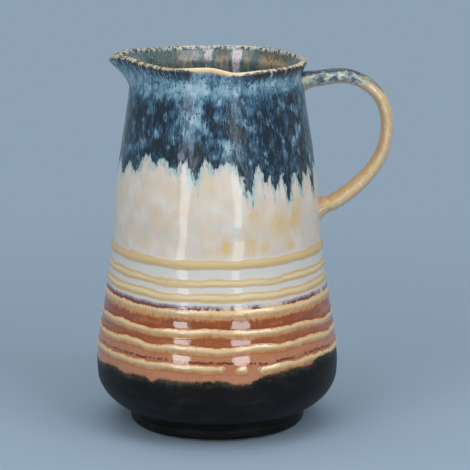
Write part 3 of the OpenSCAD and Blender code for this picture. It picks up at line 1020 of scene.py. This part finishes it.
def amber_field(f):
    """Amber glaze that breaks cream over the raised rings."""
    height = f.mark("level")
    rise = f.mark("crest")
    swell = f.mark("swell")
    mottle = f.grain(2.4, 2.4, 2, 31)
    slow = f.grain(16, 6, 2, 32)
    runs = f.grain(1.2, 8, 2, 33)
    colour = f.ramp(height + slow * 10, [
        (44, SALMON), (54, SALMON), (62, SIENNA), (70, RUST), (80, RUST),
    ])
    colour = f.dye(colour, CARAMEL, f.smooth(mottle + slow, 0.02, 0.24) * 0.5)
    colour = f.dye(colour, SALMON, f.smooth(runs * 0.5 + slow, 0.02, 0.25) * 0.4)
    # Each ring's crest is cream, sharp above and running down into orange, and rounds off at its ends
    edge = rise + f.grain(3.6, 3.6, 1, 34) * 1.3 + f.grain(11, 11, 1, 37) * 2
    here = f.smooth(swell, 0.04, 0.2) * f.smooth(f.mark("near"), 3.7, 3.4)
    lower = f.smooth(height, 74, 72) * here
    taper = f.smooth(swell, 0.85, 0.1)
    # Painted shadow: a thin dark oxblood line just above each of the lower rings
    colour = f.dye(colour, OXBLOOD_AND_SHADOW, f.window(edge, 1.7, 2.8, 0.5) * lower * 0.4)
    crown = f.smooth(edge + taper * 1.5, 1.8, 1.3) * here
    crown = crown * f.smooth(edge - taper * 2 + mottle * 1.6, -3.8, -3)
    crest = f.ramp(edge + mottle * 2.2 + runs * 0.8, [
        (-3.8, CARAMEL), (-2.9, CREST_LOW), (-2.1, CREST_TAN), (-1.2, CREST), (-0.2, CREST_LIGHT),
        (0.9, CREST_LIGHT), (1.7, CREST_TAN),
    ])
    crest = f.dye(crest, CARAMEL, f.smooth(mottle + runs, 0.12, 0.34) * 0.3 + taper * 0.4)
    colour = f.dye(colour, CARAMEL, f.window(rise, -4, -2, 0.8) * lower * 0.5)
    colour = f.dye(colour, crest, crown)
    # The widest ring, just under the cream, is cream all over with fine runs at its foot
    top = f.smooth(height + runs * 4 + mottle * 3 + f.grain(9, 30, 2, 38) * 3, 72.8, 75)
    sweep = f.ramp(height + mottle * 4 + runs * 2, [
        (73, CREST_LOW), (74.8, CREST_TAN), (76.2, CREST), (77.6, CREST_LIGHT), (79.2, CREST_LIGHT),
        (80.6, CREST),
    ])
    streaks = f.smooth(runs, 0.02, 0.2) * f.smooth(height + runs * 6, 80.5, 75.5)
    sweep = f.dye(sweep, CARAMEL, streaks * 0.75)
    colour = f.dye(colour, sweep, top)
    # A dotted dark red line runs above the lowest ring
    line = f.window(rise + f.grain(3, 40, 2, 35) * 2, 2.6, 3.9, 0.3) * f.smooth(height, 56, 54)
    dots = f.smooth(f.grain(1.5, 6, 2, 36) + f.grain(14, 60, 1, 39), -0.14, 0)
    colour = f.dye(colour, OXBLOOD_AND_SHADOW, line * dots * 0.95)
    return Glaze(colour, GLOSSY + crown.max(top) * 0.1, crown * 0.06 + mottle * 0.03)


def black_field(f):
    """Satin black glaze with faint browner clouds."""
    slow = f.grain(16, 5, 2, 41)
    fine = f.grain(0.8, 0.8, 2, 42)
    edge = f.smooth(f.mark("soot") + f.grain(6, 6, 2, 46) * 6, -5, 0.2)
    colour = f.dye(COAL, SLATE, f.smooth(slow, 0.02, 0.24) * 0.6)
    colour = f.dye(colour, OLIVE, edge * f.smooth(fine + slow * 0.6, -0.16, 0.12) * 0.85)
    return Glaze(colour, SATIN + slow * 0.1, fine * 0.02)


def soot_mask(f):
    """1 where the black lies, with a fuzzy edge."""
    edge = f.mark("soot") + f.grain(3, 5, 2, 43) * 2.4 + f.grain(0.6, 0.9, 2, 44) * 2.6
    return f.smooth(edge, 0.9, -0.9)


def lip_field(f, under):
    """Glaze that breaks cream over the lip, with dark gaps between its runs."""
    below = f.mark("below")
    tidy = f.mark("tidy")
    runs = f.rays(1.5, 1, 51)
    fine = f.grain(0.7, 24, 2, 52)
    patch = f.rays(5, 2, 53)
    clean = f.smooth(tidy + patch * 0.5, 0.35, 1.05)
    reach = 1.8 + clean * 1.7 + patch * 5 * (1.05 - clean)
    fringe = f.smooth(below + fine * 7 + runs * 9, 9.4, 6.2) * f.smooth(below, 1.2, 2.4)
    fringe = fringe * f.smooth(runs + tidy * 0.7, -0.1, 0.06) * (0.95 - clean * 0.9)
    dark = f.dye(INK, LIP_DARK, f.smooth(below + fine * 3, 6.2, 3.8))
    colour = f.dye(under.colour, dark, fringe)
    cream = f.dye(LIP_CREAM, LIP_OLIVE, f.smooth(tidy + fine * 0.3, 0.24, 0) * 0.55)
    cream = f.dye(cream, LIP_TAN, f.smooth(below + fine * 3, 1, 2.4) * (0.6 + clean * 0.4))
    band = f.smooth(below, reach + 0.5 + clean * 0.7, reach - 0.6)
    band = band * f.smooth(below + fine * 4 + patch * 5, -1.7, -0.5)
    gaps = f.smooth(runs + fine * 0.3 - tidy * 0.45, -0.03, 0.02)
    cream = f.dye(cream, LIP_GAP, gaps * 0.9)
    return f.blend(Glaze(colour, under.rough, under.height), Glaze(cream, GLOSSY, runs * 0.1), band)


def liner_field(f):
    """Grey-green glaze of the inside, specked, with tan drapes near the lip and painted reflections
    between them.
    """
    below = f.mark("below")
    slow = f.grain(10, 14, 2, 61)
    flecks = f.grain(0.9, 2.6, 3, 62)
    runs = f.grain(2.2, 14, 3, 63)
    drape = f.mark("drape")
    value = 0.5 + slow * 1.2 + flecks * 1.6 + runs * 0.8 + f.smooth(below, -20, -6) * drape * 0.3
    colour = f.ramp(value, [(0.1, SEA_DARK), (0.4, SEA), (0.62, SEA), (0.95, SEA_LIGHT)])
    drapes = f.smooth(drape + runs * 2 + slow * 0.8, 0.1, 1.2) * f.smooth(below + runs * 26, -18, -8)
    cloth = f.dye(DRAPE, BROWN, f.smooth(below + runs * 8, -9, -5) * 0.9)
    colour = f.dye(colour, cloth, drapes * 0.85)
    streaks = f.smooth(runs + flecks * 0.5, 0.1, 0.2) * f.smooth(below, -9, -4)
    colour = f.dye(colour, LIP_DARK, streaks * 0.7)
    # Two pale lavender patches of painted reflection hang between the drapes and fade out further down
    pale = drape + runs * 2.2 + flecks * 1.2 + f.smooth(below, -5, -21) * 0.6
    pale = f.smooth(pale, -0.22, -0.6)
    pale = pale * f.smooth(below + runs * 14, -25, -18)
    colour = f.dye(colour, LAVENDER_REFLECTION, pale * 0.95)
    colour = f.dye(colour, PITCH, f.specks(1.8, 2.4, 0.26, 64) * 0.7)
    return Glaze(colour, LINER_GLOSS, flecks * 0.06)


def drips(f, under):
    """The blue glaze over the cream, with ragged pale tips."""
    tip = f.mark("edge") + f.grain(1.7, 9, 2, 71) * 7 + f.grain(0.8, 4, 2, 72) * 2.6
    fringe = f.dye(FOAM, TEAL, f.smooth(f.grain(0.9, 5, 2, 73), 0, 0.16) * 0.8)
    froth = f.smooth(tip + f.grain(2.8, 8, 3, 74) * 11, -4.6, -0.4) * 0.8
    foamy = f.blend(under, Glaze(fringe, GLOSSY, 0), froth)
    blue = blue_field(f)
    tips = Glaze(f.dye(blue.colour, PITCH, f.smooth(tip, 8, 2) * 0.6), blue.rough, blue.height)
    return f.blend(foamy, tips, f.smooth(tip, -0.5, 0.9))


def blue_finish():
    """Blue that breaks cream over the lip and meets the liner inside."""
    f = Finish("running_blue")
    outside = lip_field(f, drips(f, cream_field(f)))
    inside = f.smooth(f.mark("below"), -2.4, -4.2)
    return f.fire(f.blend(outside, liner_field(f), inside), PALE_SHINE)


def cream_finish():
    """Striped cream between the blue drips and the maroon line."""
    f = Finish("striped_cream")
    return f.fire(drips(f, maroon_line(f, cream_field(f))), PALE_SHINE)


def amber_finish():
    """Amber that runs out over the satin black, with a fuzzy edge between them."""
    f = Finish("amber_over_black")
    amber = f.glass(maroon_line(f, amber_field(f)), AMBER_SHINE)
    black = f.glass(black_field(f), BLACK_SHINE)
    return f.close(f.node("MixShader", {}, {0: soot_mask(f), 1: amber, 2: black}))


def liner_finish():
    """The specked glaze of the inside alone."""
    f = Finish("specked_liner")
    return f.fire(liner_field(f), PLAIN_SHINE)


def strap_finish():
    """Honey glaze of the handle, blue and spotted at the top where the jug's glaze meets it."""
    f = Finish("honey_strap")
    along = f.mark("along")
    face = f.mark("face")
    mottle = f.grain(2.6, 3.4, 2, 81)
    fine = f.grain(0.8, 1.3, 2, 82)
    colour = f.dye(STRAP_HONEY, STRAP_PALE, f.smooth(mottle, 0, 0.2))
    # Painted shade: darker tan on the strap's inner side, which faces the jug
    colour = f.dye(colour, STRAP_SHADE_TAN, f.smooth(face + mottle * 0.6, -0.35, -0.85) * 0.85)
    colour = f.dye(colour, BROWN, f.specks(9, 9, 0.09, 83) * 0.7)
    reach = along + f.grain(4, 9, 3, 84) * 0.5
    # The blue keeps to the top edge and leaves cream spots between
    spotted = f.ramp(0.5 + fine * 0.6 + mottle * 1.5 - f.smooth(face, 0.45, 0.95) * 0.3, [
        (0.04, INK), (0.22, NAVY), (0.36, STRAP_GREY), (0.56, SEA_LIGHT), (0.72, STRAP_SPOT),
        (0.95, LIP_CREAM),
    ])
    grey = f.smooth(reach, 0.38, 0.24) * f.smooth(face + mottle * 0.6, 0.35, 0.8)
    colour = f.dye(colour, STRAP_GREY, grey * 0.85)
    colour = f.dye(colour, spotted, f.smooth(reach, 0.29, 0.2) * f.smooth(face + mottle, -0.75, -0.4))
    return f.fire(Glaze(colour, STRAP_GLOSS, fine * 0.02 + mottle * 0.015), PLAIN_SHINE)


def clay_finish():
    """Bare fired stoneware, matt and gritty."""
    f = Finish("bare_stoneware")
    place = f.node("TexCoord", {}, {}, "Object")
    broad = f.node("TexNoise", {}, {"Vector": place, "Scale": CLAY_CLOUDS, "Detail": 3})
    grit = f.node("TexNoise", {}, {"Vector": place, "Scale": CLAY_GRIT, "Detail": 2})
    colour = f.dye(BARE_CLAY, CLAY_DARK, f.smooth(broad + grit * 0.5, 0.6, 0.95))
    return f.fire(Glaze(colour, MATT + (grit - 0.5) * 0.2, grit * 0.08), PLAIN_SHINE)


# Radius of the floor, and where it turns into the even backdrop
FLOOR_SIZE = 8000
FLOOR_NEAR = 120
FLOOR_FAR = 600


def floor_finish():
    """Matt floor. Far behind the jug the camera sees it as an even backdrop."""
    f = Finish("studio_floor")
    matt = f.node("BsdfPrincipled", {}, {
        "Base Color": FLOOR, "Roughness": FLOOR_MATT, "Specular IOR Level": FLOOR_SHINE,
    })
    place = f.node("TexCoord", {}, {}, "Object")
    away = f.node("VectorMath", {"operation": "LENGTH"}, {0: place}, "Value")
    far = f.smooth(away, FLOOR_NEAR * MM, FLOOR_FAR * MM)
    glossy = f.node("LightPath", {}, {}, "Is Glossy Ray")
    sight = f.node("LightPath", {}, {}, "Is Camera Ray").max(glossy)
    even = f.node("Emission", {}, {"Color": BACKDROP})
    return f.close(f.node("MixShader", {}, {0: far * sight, 1: matt, 2: even}))


def dress(piece, finish, node):
    """Gives a piece its finish and its body, and hides the node that it stands for."""
    piece.data.materials.append(finish)
    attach(piece, "root")
    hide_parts(node)


clay = clay_finish()
belly = amber_finish()
dress(clay_body(), clay, "body")
dress(liner_coat(), liner_finish(), "liner_glaze")
dress(blue_coat(), blue_finish(), "blue_glaze")
dress(cream_coat(), cream_finish(), "cream_glaze")
dress(amber_coat(), belly, "amber_glaze")
dress(black_coat(), belly, "black_glaze")
dress(handle_coat(), strap_finish(), "handle_glaze")
for name in ("handle", "handle_wad_upper", "handle_wad_lower"):
    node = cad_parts[name]
    node.data.materials.clear()
    node.data.materials.append(clay)


def studio_floor():
    """Wide plain disc that the jug stands on."""
    bm = bmesh.new()
    bmesh.ops.create_circle(bm, cap_ends=True, segments=96, radius=FLOOR_SIZE * MM)
    floor = finished("studio_floor", bm)
    floor.data.materials.append(floor_finish())


def lamp(name, azimuth, elevation, distance, wide, tall, radiance, tint=(1, 1, 1)):
    """Softbox that faces the jug. Azimuth 0 is over the camera, and positive to its right."""
    light = bpy.data.lights.new(name, "AREA")
    light.shape = "RECTANGLE"
    light.size = wide * MM
    light.size_y = tall * MM
    light.energy = math.pi * radiance * light.size * light.size_y
    light.color = tint
    turn, lift = math.radians(azimuth - 90), math.radians(elevation)
    aim = Vector((math.cos(turn) * math.cos(lift), math.sin(turn) * math.cos(lift), math.sin(lift)))
    softbox = added(name, light)
    softbox.location = (aim * distance + Vector((0, 0, JUG_H / 2))) * MM
    softbox.rotation_euler = aim.to_track_quat("Z", "Y").to_euler()


# Tints of the lamps. The warm one makes up for the blue that the floor throws back
WARM_LIGHT = (1, 0.95, 0.9)
COOL_LIGHT = (0.94, 0.98, 1)
AIR_STRENGTH = 0.74


def studio_lights():
    """Two strips that glint on the glaze, two warm panels and a wide softbox overhead."""
    # Azimuth, elevation, distance, width, height, radiance and tint
    lamp("strip_left", -32.3, 6, 650, 112, 330, 5, COOL_LIGHT)
    lamp("strip_right", 23.3, 6, 650, 108, 330, 4.4, COOL_LIGHT)
    lamp("panel_left", -38, 40, 1100, 700, 420, 3.1, WARM_LIGHT)
    lamp("panel_right", 46, 38, 1100, 600, 420, 4.8, WARM_LIGHT)
    lamp("overhead", 0, 88, 1300, 1500, 1500, 1.5, WARM_LIGHT)


# The photo's camera: how far it is from the point it looks at, and how high it looks down
CAMERA_DISTANCE = 1300
CAMERA_ELEVATION = math.radians(12.59)
CAMERA_TARGET = Vector((10.25, 0.6, 107.67))
PHOTO_WIDTH = 470
PIXEL = 0.5697
SENSOR = 36


def photo_camera():
    """Camera that frames the jug as the photo does."""
    lens = bpy.data.cameras.new("photo_camera")
    lens.sensor_width = SENSOR
    lens.lens = SENSOR * CAMERA_DISTANCE / (PHOTO_WIDTH * PIXEL)
    camera = added("photo_camera", lens)
    back = Vector((0, -math.cos(CAMERA_ELEVATION), math.sin(CAMERA_ELEVATION)))
    camera.location = (CAMERA_TARGET + back * CAMERA_DISTANCE) * MM
    camera.rotation_euler = back.to_track_quat("Z", "Y").to_euler()
    bpy.context.scene.camera = camera


def studio_air():
    """Even light from all round."""
    world = bpy.data.worlds.new("studio_air")
    world.use_nodes = True
    sky = world.node_tree.nodes["Background"]
    sky.inputs["Color"].default_value = AIR
    sky.inputs["Strength"].default_value = AIR_STRENGTH
    bpy.context.scene.world = world


studio_floor()
studio_lights()
studio_air()
photo_camera()
bpy.context.scene.view_settings.view_transform = "Standard"
